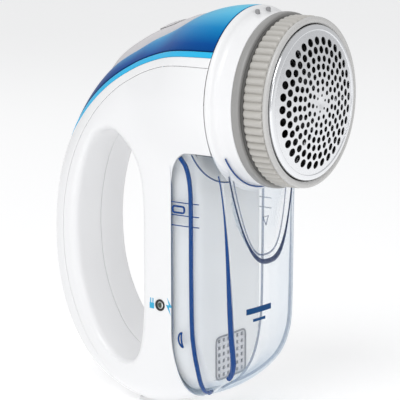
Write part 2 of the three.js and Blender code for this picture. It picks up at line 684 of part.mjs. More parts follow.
place("transformer", box(-9, 9, -16, -5.4, 20.5, 31), BLACK);
place("led_bezel", ledBezel(), BLACK);
place("charge_led", rodX(1.2, -26.2, -20.6, LED.y, LED.z, 12), GREEN);
place("ac_inlet", acInlet(), BLACK);
[-3, 3].forEach((x, i) => place(`inlet_pin_${i + 1}`, inletPin(x), BRASS));
SCREWS.forEach((screw, i) => place(`shell_screw_${i + 1}`, shellScrew(screw), STEEL));

export default shaver;
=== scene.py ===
"""Looks of a rechargeable fabric shaver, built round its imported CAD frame.

Shapes are worked out in millimetres in the head's frame: the head's axis is at HEAD_Z, its front
ring is at y = RING_FACE, +Z is up and X = 0 is the mirror plane. to_world() turns them into metres
in the row frame.
"""
import math

import bmesh
import bpy
import numpy as np
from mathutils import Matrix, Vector
from mathutils.geometry import delaunay_2d_cdt


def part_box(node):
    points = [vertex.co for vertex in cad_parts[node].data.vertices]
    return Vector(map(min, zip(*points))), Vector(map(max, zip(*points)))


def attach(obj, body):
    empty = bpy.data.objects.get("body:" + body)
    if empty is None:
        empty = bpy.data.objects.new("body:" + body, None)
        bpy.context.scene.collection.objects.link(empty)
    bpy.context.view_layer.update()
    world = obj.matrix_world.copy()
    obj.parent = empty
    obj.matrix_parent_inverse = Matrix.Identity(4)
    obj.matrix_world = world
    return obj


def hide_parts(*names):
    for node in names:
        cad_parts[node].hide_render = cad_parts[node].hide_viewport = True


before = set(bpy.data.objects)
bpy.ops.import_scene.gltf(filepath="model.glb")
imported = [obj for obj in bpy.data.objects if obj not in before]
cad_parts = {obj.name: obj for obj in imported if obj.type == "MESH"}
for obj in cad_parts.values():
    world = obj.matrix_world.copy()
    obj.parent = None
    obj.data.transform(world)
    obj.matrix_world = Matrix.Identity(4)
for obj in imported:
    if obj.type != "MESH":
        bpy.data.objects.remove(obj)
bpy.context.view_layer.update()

MM = 0.001
HEAD_Z = 132.0
RING_FACE = -62.5
MIDDLE_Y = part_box("guard_ring")[0][1] / MM - RING_FACE


def to_world(points):
    """Millimetres in the head's frame to metres in the row frame."""
    points = np.asarray(points, float) + (0, MIDDLE_Y, 0)
    return points * MM


def add_object(name, data):
    made = bpy.data.objects.new(name, data)
    bpy.context.collection.objects.link(made)
    return made


def aim_at(thing, aim, azimuth, elevation, distance):
    """Puts a camera or lamp at a distance from a place, in metres, and turns it to face the place."""
    a, e = math.radians(azimuth), math.radians(elevation)
    out = Vector((math.sin(a) * math.cos(e), -math.cos(a) * math.cos(e), math.sin(e)))
    thing.location = aim + out * distance
    thing.rotation_mode = "QUATERNION"
    thing.rotation_quaternion = (-out).to_track_quat("-Z", "Y")


# ---------------- camera
CAMERA = {"azimuth": -54.9, "elevation": 10.5, "distance": 0.828}
LENS = 180.0
AIM = (3.787, -5.844, 86.604)


def make_camera():
    data = bpy.data.cameras.new("camera")
    data.lens = LENS
    camera = add_object("camera", data)
    aim_at(camera, Vector(to_world(AIM)), **CAMERA)
    bpy.context.scene.camera = camera


# ---------------- materials
def set_inputs(node, **values):
    """Sets sockets by their names, with an underscore for each space."""
    for socket, value in values.items():
        node.inputs[socket.replace("_", " ")].default_value = value
    return node


def principled(name, color, roughness=0.4, metallic=0.0, **sockets):
    material = bpy.data.materials.new(name)
    material.use_nodes = True
    shader = material.node_tree.nodes["Principled BSDF"]
    set_inputs(shader, Base_Color=(*color, 1), Roughness=roughness, Metallic=metallic, **sockets)
    return material


def feed(material, socket, output):
    """Links an output to a socket of the material's shader."""
    tree = material.node_tree
    tree.links.new(output, tree.nodes["Principled BSDF"].inputs[socket])


def noise_in(tree, scale, detail):
    """A noise that is fixed to the object."""
    coordinates = tree.nodes.new("ShaderNodeTexCoord")
    noise = set_inputs(tree.nodes.new("ShaderNodeTexNoise"), Scale=scale, Detail=detail)
    tree.links.new(coordinates.outputs["Object"], noise.inputs["Vector"])
    return noise.outputs["Fac"]


def add_grain(material, scale, strength=0.12, height=0.04):
    """A faint moulded grain, its height in millimetres."""
    tree = material.node_tree
    bump = set_inputs(tree.nodes.new("ShaderNodeBump"), Strength=strength, Distance=height * MM)
    tree.links.new(noise_in(tree, scale, 2.0), bump.inputs["Height"])
    feed(material, "Normal", bump.outputs["Normal"])


def vary_roughness(material, scale, low, high):
    """A gloss that wanders a little over the surface, as on moulded plastic and drawn metal."""
    tree = material.node_tree
    spread = tree.nodes.new("ShaderNodeMapRange")
    set_inputs(spread, From_Min=0.3, From_Max=0.7, To_Min=low, To_Max=high)
    tree.links.new(noise_in(tree, scale, 3.0), spread.inputs["Value"])
    feed(material, "Roughness", spread.outputs["Result"])


def clear_plastic(name, color, facing, edge, **sockets):
    """Thin clear plastic: nearly see-through face on and denser where it turns away."""
    material = principled(name, color, 0.03, **sockets)
    tree = material.node_tree
    weight = set_inputs(tree.nodes.new("ShaderNodeLayerWeight"), Blend=0.35)
    density = tree.nodes.new("ShaderNodeMapRange")
    set_inputs(density, From_Min=0.3, To_Min=facing, To_Max=edge)
    tree.links.new(weight.outputs["Facing"], density.inputs["Value"])
    feed(material, "Alpha", density.outputs["Result"])
    return material


def blue_painted_toplight(name):
    """Deep blue panel; its lightening to cyan where the panel faces up is painted light from above."""
    material = principled(name, (0.01, 0.1, 0.4), 0.28, Specular_IOR_Level=0.07)
    tree = material.node_tree
    geometry = tree.nodes.new("ShaderNodeNewGeometry")
    split = tree.nodes.new("ShaderNodeSeparateXYZ")
    ramp = tree.nodes.new("ShaderNodeValToRGB")
    # Ramp by how far the surface faces up: the lighter blue and cyan stops are painted top light.
    stops = [
        (0.0, (0.0, 0.022, 0.09)), (0.45, (0.0, 0.036, 0.17)), (0.64, (0.0, 0.07, 0.3)),
        (0.8, (0.0, 0.22, 0.52)), (1.0, (0.1, 0.6, 0.84)),
    ]
    elements = ramp.color_ramp.elements
    while len(elements) < len(stops):
        elements.new(0.5)
    for element, (place, color) in zip(elements, stops):
        element.position = place
        element.color = (*color, 1)
    tree.links.new(geometry.outputs["Normal"], split.inputs["Vector"])
    tree.links.new(split.outputs["Z"], ramp.inputs["Fac"])
    feed(material, "Base Color", ramp.outputs["Color"])
    return material


MATERIALS = {
    "white": principled("white_shell", (0.87, 0.872, 0.88), 0.3, Coat_Weight=0.2, Coat_Roughness=0.1),
    "column": principled("column_grey", (0.92, 0.925, 0.92), 0.35),
    "blue": blue_painted_toplight("blue_panel"),
    "cyan": principled("cyan_trim", (0.02, 0.47, 0.8), 0.3, Specular_IOR_Level=0.3),
    "pale": principled("pale_insert", (0.6, 0.585, 0.6), 0.32),
    "grey": principled("grey_plastic", (0.31, 0.307, 0.3), 0.4),
    "recess": principled("flange_gap_painted_shade", (0.1, 0.098, 0.094), 0.5),
    "beige": principled("beige_ring", (0.5, 0.485, 0.455), 0.34),
    # Near black grey for painted shade in the gap behind the dial.
    "lip": principled("ring_lip", (0.56, 0.555, 0.545), 0.25, Coat_Weight=0.3),
    # Near black for painted shade inside the head.
    "dark": principled("head_inside_painted_shade", (0.05, 0.05, 0.05), 0.5),
    "polished": principled("polished_steel", (0.86, 0.87, 0.89), 0.14, 1.0),
    "satin": principled("satin_steel", (0.84, 0.85, 0.87), 0.3, 1.0),
    "clear": clear_plastic("clear_plastic", (0.45, 0.6, 0.76), 0.05, 0.56),
    # Pale see-through white for the painted highlight strips on the bin's corners.
    "clear_white": clear_plastic("clear_white", (0.9, 0.93, 0.97), 0.5, 0.8),
    "clear_edge": clear_plastic("clear_edge", (0.05, 0.12, 0.28), 0.42, 0.9),
    "dark_edge": clear_plastic("dark_edge", (0.004, 0.03, 0.13), 0.72, 0.95, Specular_IOR_Level=0.3),
    "blue_edge": clear_plastic("blue_edge", (0.0, 0.055, 0.25), 0.88, 0.98, Specular_IOR_Level=0.25),
    "black": principled("black_plastic", (0.012, 0.012, 0.013), 0.45),
    "brass": principled("brass", (0.72, 0.5, 0.2), 0.3, 1.0),
    "board": principled("green_board", (0.02, 0.16, 0.07), 0.4),
    "cell": principled("cell_wrap", (0.03, 0.2, 0.12), 0.3),
    "led": principled("led_green", (0.008, 0.03, 0.008), 0.12, Coat_Weight=0.6),
    "grille": principled("grille_white", (0.7, 0.7, 0.72), 0.35),
    "print_cyan": principled("print_cyan", (0.02, 0.4, 0.66), 0.35),
    "print_blue": principled("print_blue", (0.0, 0.06, 0.2), 0.5, Specular_IOR_Level=0.15),
    "mark": principled("index_mark", (0.3, 0.3, 0.31), 0.45),
}
# Gloss that wanders: scale of the variation, lowest and highest roughness.
WANDER = {
    "white": (900, 0.28, 0.32), "column": (900, 0.32, 0.38), "pale": (900, 0.32, 0.38),
    "cyan": (900, 0.28, 0.34), "grey": (400, 0.34, 0.5), "beige": (500, 0.28, 0.42),
    "lip": (300, 0.2, 0.3), "satin": (700, 0.22, 0.38), "polished": (250, 0.1, 0.2),
    "black": (500, 0.35, 0.55), "grille": (300, 0.3, 0.42), "board": (300, 0.3, 0.5),
    "cell": (200, 0.22, 0.36), "brass": (300, 0.22, 0.38),
}
GRAIN_SCALE = {"beige": 2600, "grey": 2200, "grille": 2000, "black": 2400}
for look, settings in WANDER.items():
    vary_roughness(MATERIALS[look], *settings)
for look, scale in GRAIN_SCALE.items():
    add_grain(MATERIALS[look], scale)


# ---------------- meshes
def add_piece(name, points, faces, look, body="body", replaces=(), thickness=0, rim=None, angle=35):
    """Makes a piece from millimetre points. A thickness above 0 makes an open skin solid, inwards.

    Edges sharper than the angle stay sharp. A rim is the look of a thickened skin's edges.
    """
    mesh = bpy.data.meshes.new(name)
    mesh.from_pydata([tuple(p) for p in to_world(points)], [], [tuple(map(int, f)) for f in faces])
    mesh.materials.append(MATERIALS[look])
    if rim:
        mesh.materials.append(MATERIALS[rim])
    piece = add_object(name, mesh)
    if thickness:
        solidify = piece.modifiers.new("thickness", "SOLIDIFY")
        solidify.thickness = thickness * MM
        solidify.offset = -1
        solidify.use_even_offset = False
        solidify.thickness_clamp = 1.0
        solidify.material_offset_rim = 1 if rim else 0
        apply_modifiers(piece)
    piece.data.polygons.foreach_set("use_smooth", [True] * len(piece.data.polygons))
    piece.data.set_sharp_from_angle(angle=math.radians(angle))
    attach(piece, body)
    if replaces:
        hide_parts(*replaces)


def apply_modifiers(piece):
    bpy.context.view_layer.update()
    graph = bpy.context.evaluated_depsgraph_get()
    mesh = bpy.data.meshes.new_from_object(piece.evaluated_get(graph))
    old = piece.data
    piece.modifiers.clear()
    piece.data = mesh
    mesh.name = old.name
    bpy.data.meshes.remove(old)


def catmull(points, steps, closed=False):
    """Points along a smooth line through the given ones, steps to each stretch."""
    points = np.asarray(points, float)
    count = len(points)
    if closed:
        ring = points[np.arange(-1, count + 2) % count]
    else:
        ring = np.vstack([2 * points[0] - points[1], points, 2 * points[-1] - points[-2]])
    out = []
    for i in range(count if closed else count - 1):
        a, b, c, d = ring[i : i + 4]
        for t in np.arange(steps) / steps:
            bend = (2 * a - 5 * b + 4 * c - d) * t**2
            out.append(0.5 * (2 * b + (c - a) * t + bend + (3 * b - a - 3 * c + d) * t**3))
    if not closed:
        out.append(points[-1])
    return np.array(out)


def smoothstep(x, low, high):
    t = np.clip((x - low) / (high - low), 0, 1)
    return t * t * (3 - 2 * t)


def grid_faces(rows, columns, close_rows=False, close_columns=False):
    """Quads of a grid of points stored row by row."""
    i = np.arange(rows if close_rows else rows - 1)
    j = np.arange(columns if close_columns else columns - 1)
    i, j = np.meshgrid(i, j, indexing="ij")
    i2, j2 = (i + 1) % rows, (j + 1) % columns
    quads = np.stack([i * columns + j, i * columns + j2, i2 * columns + j2, i2 * columns + j], -1)
    return quads.reshape(-1, 4)


LONGEST_SHARE = 0.45  # the most of a side that the rounding of one corner takes


def round_corners(profile, radius, steps=3):
    """A closed profile with each corner replaced by a short curve."""
    profile = np.asarray(profile, float)
    out = []
    for i, corner in enumerate(profile):
        before, after = profile[i - 1], profile[(i + 1) % len(profile)]
        back, forth = before - corner, after - corner
        back_length, forth_length = np.linalg.norm(back), np.linalg.norm(forth)
        reach = min(radius, back_length * LONGEST_SHARE, forth_length * LONGEST_SHARE)
        start = corner + back / back_length * reach
        end = corner + forth / forth_length * reach
        for t in np.linspace(0, 1, steps + 1):
            out.append((1 - t) ** 2 * start + 2 * t * (1 - t) * corner + t**2 * end)
    return np.array(out)


def turned(profile, steps=192):
    """A closed [radius, y] profile turned about the head's axis."""
    angles = np.radians(np.linspace(0, 360, steps, endpoint=False))
    r, y = np.asarray(profile, float).T
    rings = [np.outer(np.cos(angles), r), np.tile(y, (steps, 1)), HEAD_Z + np.outer(np.sin(angles), r)]
    faces = grid_faces(steps, len(profile), True, True)
    return face_outwards(np.stack(rings, -1).reshape(-1, 3), faces)


def face_outwards(points, faces):
    """The same mesh with every face turned outwards."""
    mesh = bmesh.new()
    verts = [mesh.verts.new(p) for p in points]
    for face in faces:
        mesh.faces.new([verts[i] for i in face])
    bmesh.ops.recalc_face_normals(mesh, faces=mesh.faces)
    mesh.verts.index_update()
    faces = [[v.index for v in f.verts] for f in mesh.faces]
    mesh.free()
    return np.asarray(points, float), faces


def facing(points, faces, axis):
    """The same sheet with its front towards the low end of an axis."""
    a, b, c = (np.asarray(points[i]) for i in faces[0][:3])
    if np.cross(b - a, c - a)[axis] > 0:
        faces = [face[::-1] for face in faces]
    return points, faces


def tube(path, radius, sides=10, closed=False):
    """A round bar along a path, its radius a number or one for each point."""
    path = np.asarray(path, float)
    count = len(path)
    radius = np.broadcast_to(radius, count)
    ahead, behind = np.roll(path, -1, 0), np.roll(path, 1, 0)
    if not closed:
        ahead[-1], behind[0] = path[-1], path[0]
    along = ahead - behind
    along /= np.linalg.norm(along, axis=1)[:, None]
    side = np.cross(along[0], (0, 0, 1) if abs(along[0][2]) < 0.8 else (1, 0, 0))
    angles = np.arange(sides) / sides * 2 * np.pi
    points = []
    for i in range(count):
        side = side - along[i] * (side @ along[i])
        side /= np.linalg.norm(side)
        up = np.cross(along[i], side)
        ring = np.outer(np.cos(angles), side) + np.outer(np.sin(angles), up)
        points.append(path[i] + ring * radius[i])
    faces = [tuple(f) for f in grid_faces(count, sides, closed, True)]
    if not closed:
        faces.append(tuple(range(sides))[::-1])
        faces.append(tuple((count - 1) * sides + k for k in range(sides)))
    return face_outwards(np.vstack(points), faces)


# ---------------- the body's form
# The finger loop from the side, as [y, z]: its outside and the hole through it.
LOOP_OUTSIDE = [
    (-60, 60), (-60, 105), (-58, 128), (-40, 138), (-22, 146), (-8, 152.6), (6, 154.2), (19, 148.9),
    (32.2, 140.5), (43.6, 128.3), (53, 112.6), (59.6, 95), (62.4, 75), (61.4, 53), (55.8, 32.6),
    (44.8, 15.4), (31, 5.4), (16, 0.4), (4, 0.2), (-11, 4.8), (-21.5, 8.2), (-28.7, 11.9),
    (-34.6, 15.9), (-39.5, 19.6), (-48, 27), (-57, 38),
]
LOOP_INSIDE = [
    (3.6, 68), (3.6, 86), (5.2, 99), (9.5, 107.8), (15, 113), (20, 115.8), (25, 116.2), (31, 113.6),
    (36, 107), (40, 96.5), (42.6, 83), (43.1, 70), (41.5, 55), (37.2, 41.5), (30.6, 29.8), (22.6, 22.6),
    (16, 20.4), (10, 21.6), (6.4, 26.4), (4.4, 36), (3.6, 50),
]
COLLAR_R = 37.2
SHELL_FRONT = -36.2
DOME_LENGTH = 48.0
HANDLE_HALF = 17.4
COLUMN_HALF = 26.5
# How far in from its outline the loop's outside rounds over: at the handle, then what the column and
# the column's foot add to it.
HANDLE_DEPTH = 18
COLUMN_EXTRA = 8
FOOT_EXTRA = 9
OUTER_POWER = 2.1  # 2 would make an ellipse of that rounding
RIM_ROUND = 3.4  # the rounding round the hole's edges
LEVEL_UNIT = 9  # millimetres to one unit of the loop's level
LEAST_SLOPE = 0.012
GRID = 1.15
BLEND = 9.0  # how softly the head flows into the loop


def signed_distance(y, z, outline):
    """Distance in the YZ plane to a closed outline, negative inside it."""
    best = np.full(len(y), 1e9)
    inside = np.zeros(len(y), bool)
    for (ay, az), (by, bz) in zip(outline, np.roll(outline, -1, 0)):
        ey, ez = by - ay, bz - az
        t = np.clip(((y - ay) * ey + (z - az) * ez) / (ey * ey + ez * ez), 0, 1)
        best = np.minimum(best, (y - ay - t * ey) ** 2 + (z - az - t * ez) ** 2)
        if bz != az:
            crosses = (az > z) != (bz > z)
            inside ^= crosses & (y < ay + (z - az) / (bz - az) * ey)
    distance = np.sqrt(best)
    return np.where(inside, -distance, distance)


class SideMap:
    """Signed distance to an outline in the YZ plane, kept on a fine grid and read off in between."""

    STEP = 0.5
    LOW = (-75.0, -15.0)
    SIZE = (300, 400)
    MARGIN = 1.001  # keeps every place inside the last cell

    def __init__(self, outline):
        axes = [np.arange(count) * self.STEP + low for count, low in zip(self.SIZE, self.LOW)]
        y, z = np.meshgrid(*axes, indexing="ij")
        self.values = signed_distance(y.ravel(), z.ravel(), outline).reshape(self.SIZE)

    def __call__(self, y, z):
        u = np.clip((y - self.LOW[0]) / self.STEP, 0, self.SIZE[0] - self.MARGIN)
        v = np.clip((z - self.LOW[1]) / self.STEP, 0, self.SIZE[1] - self.MARGIN)
        i, j = u.astype(int), v.astype(int)
        s, t = u - i, v - j
        g = self.values
        return (g[i, j] * (1 - s) * (1 - t) + g[i + 1, j] * s * (1 - t)
                + g[i, j + 1] * (1 - s) * t + g[i + 1, j + 1] * s * t)


outside_map = SideMap(catmull(LOOP_OUTSIDE, 8, closed=True))
inside_map = SideMap(catmull(LOOP_INSIDE, 8, closed=True))


def smooth_min(a, b, blend):
    """The lesser of two distances, with a soft change over from one to the other."""
    share = np.clip(0.5 + 0.5 * (b - a) / blend, 0, 1)
    return b * (1 - share) + a * share - blend * share * (1 - share)


def smooth_max(a, b, blend):
    return -smooth_min(-a, -b, blend)


def loop_level(x, y, z):
    """0 on the finger loop's surface, -1 deep inside."""
    towards = smoothstep(-y, -50, 15)  # 0 at the handle, 1 at the column
    half = HANDLE_HALF + (COLUMN_HALF - HANDLE_HALF) * towards
    deep = HANDLE_DEPTH + towards * (COLUMN_EXTRA + FOOT_EXTRA * smoothstep(-z, -60, -15))
    out = np.clip((outside_map(y, z) + deep) / deep, 0, None)
    side = np.abs(x) / half
    hole = np.clip((-inside_map(y, z) + RIM_ROUND) / RIM_ROUND, 0, None)
    side_in = np.clip((np.abs(x) - half + RIM_ROUND) / RIM_ROUND, 0, None)
    outer = np.sqrt(out**OUTER_POWER + side**OUTER_POWER) - 1
    inner = np.sqrt(hole**2 + side_in**2) - 1
    return np.maximum(outer * deep / LEVEL_UNIT, inner * RIM_ROUND / LEVEL_UNIT)


def dome_level(x, y, z):
    """0 on the dome behind the head, -1 at its middle."""
    back = np.clip(y - SHELL_FRONT, 0, None) / DOME_LENGTH
    return np.sqrt((x**2 + (z - HEAD_Z) ** 2) / COLLAR_R**2 + back**2) - 1


def as_distance(level, points):
    """A level function scaled so that it grows by about 1 for each millimetre."""
    h = 0.4
    x, y, z = points
    value = level(x, y, z)
    slopes = [
        (level(x + h * i, y + h * j, z + h * k) - level(x - h * i, y - h * j, z - h * k)) / (2 * h)
        for i, j, k in np.eye(3)
    ]
    return value / np.maximum(np.sqrt(sum(s * s for s in slopes)), LEAST_SLOPE)


def body_distance(x, y, z):
    """Distance to the body's outer form, negative inside."""
    points = (x, y, z)
    return smooth_min(as_distance(loop_level, points), as_distance(dome_level, points), BLEND)


CORE_DROP = 2.6  # how far the column lies under the body's outer form
CORE_HALF = 23.9
CORE_FRONT = -24.0
THROAT_R = 34.4


def core_distance(x, y, z):
    """Distance to the column that stands inside the bin, with the throat above it."""
    below_skin = body_distance(x, y, z) + CORE_DROP
    walls = smooth_max(np.abs(x) - CORE_HALF, CORE_FRONT - y, blend=5)
    column = smooth_max(walls, below_skin, blend=3)
    throat = smooth_max(np.sqrt(x**2 + (z - HEAD_Z) ** 2) - THROAT_R, CORE_FRONT - y, blend=2)
    return smooth_max(smooth_min(column, throat, blend=3), below_skin, blend=1)


def cells_around(where, axis):
    """The four grid cells round each crossed grid edge along an axis."""
    others = [k for k in range(3) if k != axis]
    around = []
    for shift in ((0, 0), (0, 1), (1, 0), (1, 1)):
        cell = where.copy()
        cell[:, others] -= shift
        around.append(cell)
    return around


def surface_net(distance, low, high, step):
    """A mesh of quads, split in two, on distance = 0."""
    axes = [np.arange(a, b + step, step) for a, b in zip(low, high)]
    x, y, z = np.meshgrid(*axes, indexing="ij")
    value = distance(x.ravel(), y.ravel(), z.ravel()).reshape(x.shape)
    cells = np.array(value.shape) - 1
    total = np.zeros((*cells, 3))
    hits = np.zeros(cells)
    crossings = []
    for axis in range(3):
        v0, v1 = (value.take(np.arange(cells[axis]) + k, axis) for k in (0, 1))
        where = np.argwhere((v0 < 0) != (v1 < 0))
        a, b = v0[tuple(where.T)], v1[tuple(where.T)]
        place = where.astype(float)
        place[:, axis] += a / (a - b)
        around = cells_around(where, axis)
        inside = [((cell >= 0) & (cell < cells)).all(1) for cell in around]
        for cell, fits in zip(around, inside):
            index = tuple(cell[fits].T)
            np.add.at(total, index, place[fits])
            np.add.at(hits, index, 1)
        crossings.append((axis, around, np.all(inside, axis=0), a < 0))
    number = np.full(cells, -1)
    used = hits > 0
    number[used] = np.arange(used.sum())
    points = total[used] / hits[used][:, None] * step + np.array(low)
    triangles = []
    for axis, around, fits, rising in crossings:
        quad = np.stack([number[tuple(around[k][fits].T)] for k in (0, 2, 3, 1)], 1)
        flip = rising[fits] if axis != 1 else ~rising[fits]
        quad[~flip] = quad[~flip][:, ::-1]
        triangles += [quad[:, [0, 1, 2]], quad[:, [0, 2, 3]]]
    return settle(points, np.vstack(triangles), distance)


def settle(points, triangles, distance, rounds=4, stay=0.4, h=0.3, least_slope=0.2):
    """Evens out the points of a surface net and puts them back on its surface.

    Each round a point keeps the share stay of its place and takes the rest from its neighbours.
    """
    edges = np.vstack([triangles[:, [0, 1]], triangles[:, [1, 2]], triangles[:, [2, 0]]])
    for _ in range(rounds):
        total = np.zeros_like(points)
        count = np.zeros(len(points))
        np.add.at(total, edges[:, 0], points[edges[:, 1]])
        np.add.at(count, edges[:, 0], 1)
        points = points * stay + total / np.maximum(count, 1)[:, None] * (1 - stay)
        slopes = [
            (distance(*(points + h * axis).T) - distance(*(points - h * axis).T)) / (2 * h)
            for axis in np.eye(3)
        ]
        slope = np.stack(slopes, 1)
        step = distance(*points.T) / np.maximum((slope**2).sum(1), least_slope)
        points = points - slope * step[:, None]
    return points, triangles


NEAR_CUT = 1e-4  # a point as close as this to a cut counts as inside it


def cut(mesh, value, level=0.0):
    """Both parts of a triangle mesh on either side of value(x, y, z) = level, the lower one first."""
    points, triangles = mesh
    v = value(*points.T) - level
    v = np.where(np.abs(v) < NEAR_CUT, -NEAR_CUT, v)
    low = v < 0
    amount = low[triangles].sum(1)
    parts = {True: [triangles[amount == 3]], False: [triangles[amount == 0]]}
    splits = []
    for odd_low in (True, False):  # whether the corner on its own side of the cut is the low one
        some = triangles[amount == (1 if odd_low else 2)]
        turn = np.argmax(low[some] == odd_low, axis=1)
        a, b, c = some[np.arange(len(some))[:, None], (turn[:, None] + np.arange(3)) % 3].T
        ab, ac = (np.minimum(a, other) * len(points) + np.maximum(a, other) for other in (b, c))
        splits.append((odd_low, a, b, c, ab, ac))
    codes = np.unique(np.concatenate([ends for split in splits for ends in split[4:]]))
    p, q = np.divmod(codes, len(points))
    t = (v[p] / (v[p] - v[q]))[:, None]
    everything = np.vstack([points, points[p] * (1 - t) + points[q] * t])
    for odd_low, a, b, c, ab, ac in splits:
        ab, ac = (len(points) + np.searchsorted(codes, ends) for ends in (ab, ac))
        parts[odd_low].append(np.stack([a, ab, ac], 1))
        parts[not odd_low] += [np.stack([ab, b, c], 1), np.stack([ab, c, ac], 1)]
    return tuple(without_strays(everything, np.vstack(parts[is_low])) for is_low in (True, False))


def without_strays(points, triangles):
    """Drops points that no triangle uses."""
    used = np.unique(triangles)
    number = np.full(len(points), -1)
    number[used] = np.arange(len(used))
    return points[used], number[triangles]


def keep(mesh, value):
    """The part of a triangle mesh where value(x, y, z) is under 0, with a clean edge."""
    return cut(mesh, value)[0]


def scored(mesh, value, levels):
    """Adds edges along value(x, y, z) = each level and keeps both sides."""
    for level in levels:
        (points, triangles), (more_points, more_triangles) = cut(mesh, value, level)
        triangles = np.vstack([triangles, more_triangles + len(points)])
        points = np.vstack([points, more_points])
        rounded = np.round(points, 5)
        _, first, back = np.unique(rounded, axis=0, return_index=True, return_inverse=True)
        mesh = points[first], back.ravel()[triangles]
    return mesh


def eased_edges(mesh, value, radius=0.4, depth=0.22, inner=0.45, steepest=0.98):
    """Rounds a skin's edges inwards where value, the distance to its seam, is under radius.

    The rounding gets a row of edges at its start and one at the share inner of the radius.
    """
    points, triangles = scored(mesh, value, (radius * inner, radius))
    normals = vertex_normals(points, triangles)
    near = np.clip(1 - value(*points.T) / radius, 0, 1)
    return points - normals * (depth * (1 - np.sqrt(1 - near**2 * steepest)))[:, None], triangles


def vertex_normals(points, triangles):
    a, b, c = points[triangles.T]
    out = np.cross(b - a, c - a)
    normals = np.zeros_like(points)
    for k in range(3):
        np.add.at(normals, triangles[:, k], out)
    return normals / np.maximum(np.linalg.norm(normals, axis=1), 1e-12)[:, None]


# ---------------- parting lines
SPINE_LINE = [
    (-60, 145), (-36, 147), (-10, 145.5), (12, 138), (27, 128), (38, 116), (45.5, 102), (50, 84),
    (50.5, 66), (47.5, 48), (40.5, 31), (31.5, 18.5), (27, 10), (28, 3), (33, -8),
]
PANEL_LINE = [
    (-60, 152), (-36, 153), (-12, 151.5), (8, 146), (24, 138), (38, 127.5), (49, 116), (58, 105),
    (70, 92),
]
BIN_TOP = 112.3
BIN_REAR = -12.9
BIN_LINE = [
    (-90, BIN_TOP), (-55, BIN_TOP), (-28, BIN_TOP), (-20.5, 111.2), (-15.6, 107.2), (-13.3, 101.5),
    (BIN_REAR, 92), (BIN_REAR, 70), (BIN_REAR, 40), (BIN_REAR, 20), (BIN_REAR, -20),
]
ACCENT_WIDTH = 2.2


def side_map(line, *corners):
    """The signed distance map of what lies beyond a line."""
    return SideMap(np.vstack([catmull(line, 8), corners]))


beyond_spine = side_map(SPINE_LINE, (110, -8), (110, 210), (-60, 210))
beyond_panel = side_map(PANEL_LINE, (110, 92), (110, 210), (-60, 210))
in_bin = side_map(BIN_LINE, (-90, -20))


# The pale oval on the crown: its middle and size, how high it stands, how low its edge lies and the
# height that all of it is above.
INSERT = {"y": 12.0, "half_length": 26.0, "half_width": 8.6, "rise": 3.1, "sunk": 0.1, "foot": 122}
KNOB = {"y": 4.6, "half_length": 6.2, "half_width": 4.0, "travel": 5.1}
SLOT_GAP = 0.25
SEAM = 0.07  # half the gap between the shells and their neighbours
TRIM_GAP = 0.05
COLLAR_GAP = 0.1
WALL = 1.8
COLUMN_FACE = -18  # the column's front is ahead of this


def oval_distance(x, y, oval):
    """Roughly the distance to the edge of an oval on the crown, negative inside."""
    ratio = np.sqrt(((y - oval["y"]) / oval["half_length"]) ** 2 + (x / oval["half_width"]) ** 2)
    return (ratio - 1) * oval["half_width"]


def in_oval(x, y, z):
    return np.where(z > INSERT["foot"], oval_distance(x, y, INSERT), 99)


def on_knob(x, y, z):
    return oval_distance(x, y, KNOB)


def outside_slot(x, y, z):
    """Below 0 outside the slot that the knob slides in."""
    return SLOT_GAP - on_knob(x, y - np.clip(y - KNOB["y"], 0, KNOB["travel"]), z)


def past_collar(x, y, z):
    return SHELL_FRONT + COLLAR_GAP - y


def past_bin(x, y, z):
    return SEAM - in_bin(y, z)


def outside_grille(x, y, z):
    """Below 0 everywhere but in the opening that the grille fills."""
    lo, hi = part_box("vent_grille")
    half = (hi[0] - lo[0]) / 2 / MM
    low, high = lo[2] / MM, hi[2] / MM
    box = np.maximum(np.abs(x) - half, np.abs(z - (low + high) / 2) - (high - low) / 2)
    return np.where(y < COLUMN_FACE, -box, -9.0)


def add_skin(name, mesh, edges, look, node):
    """A patch of the body's surface, kept where every edge function is under 0, with eased edges."""
    for edge in edges:
        mesh = keep(mesh, edge)

    def to_edge(x, y, z):
        return -np.max([edge(x, y, z) for edge in edges], axis=0)

    add_piece(name, *eased_edges(mesh, to_edge), look, thickness=WALL, replaces=[node])


def make_shells(skin):
    for side, name in ((-1, "left_shell"), (1, "right_shell")):
        edges = [
            lambda x, y, z: SEAM - side * x,
            lambda x, y, z: SEAM - beyond_spine(y, z),
            past_collar,
            past_bin,
        ]
        add_skin(f"{name}_skin", skin, edges, "white", name)


def make_spine(skin):
    edges = [
        lambda x, y, z: beyond_spine(y, z) + SEAM,
        lambda x, y, z: ACCENT_WIDTH + TRIM_GAP - beyond_panel(y, z),
        past_collar,
    ]
    add_skin("spine_skin", skin, edges, "white", "spine_cover")


def make_accents(skin):
    """The cyan trim along the blue panel."""
    for side, name in ((-1, "accent_left"), (1, "accent_right")):
        edges = [
            lambda x, y, z: TRIM_GAP - beyond_panel(y, z),
            lambda x, y, z: beyond_panel(y, z) - ACCENT_WIDTH + TRIM_GAP,
            lambda x, y, z: -side * x,
            past_collar,
        ]
        add_skin(f"{name}_skin", skin, edges, "cyan", name)


def make_panel(skin):
    edges = [
        lambda x, y, z: beyond_panel(y, z) + TRIM_GAP,
        lambda x, y, z: INSERT["sunk"] - in_oval(x, y, z),
        past_collar,
    ]
    add_skin("blue_panel_skin", skin, edges, "blue", "top_panel")


def make_insert(skin):
    """The pale oval, with a slot for the knob. Returns its surface without the slot."""
    points, triangles = scored(keep(skin, in_oval), in_oval, (-0.3, -0.8, -1.6, -3.0))
    share = np.clip(-in_oval(*points.T) / INSERT["half_width"], 0, 1)
    rise = INSERT["rise"] * (1 - (1 - share) ** 3) - INSERT["sunk"]
    crown = points + vertex_normals(points, triangles) * rise[:, None], triangles
    slotted = keep(crown, outside_slot)
    add_piece("crown_insert", *slotted, "pale", thickness=1.5, replaces=["switch_plate"])
    return crown


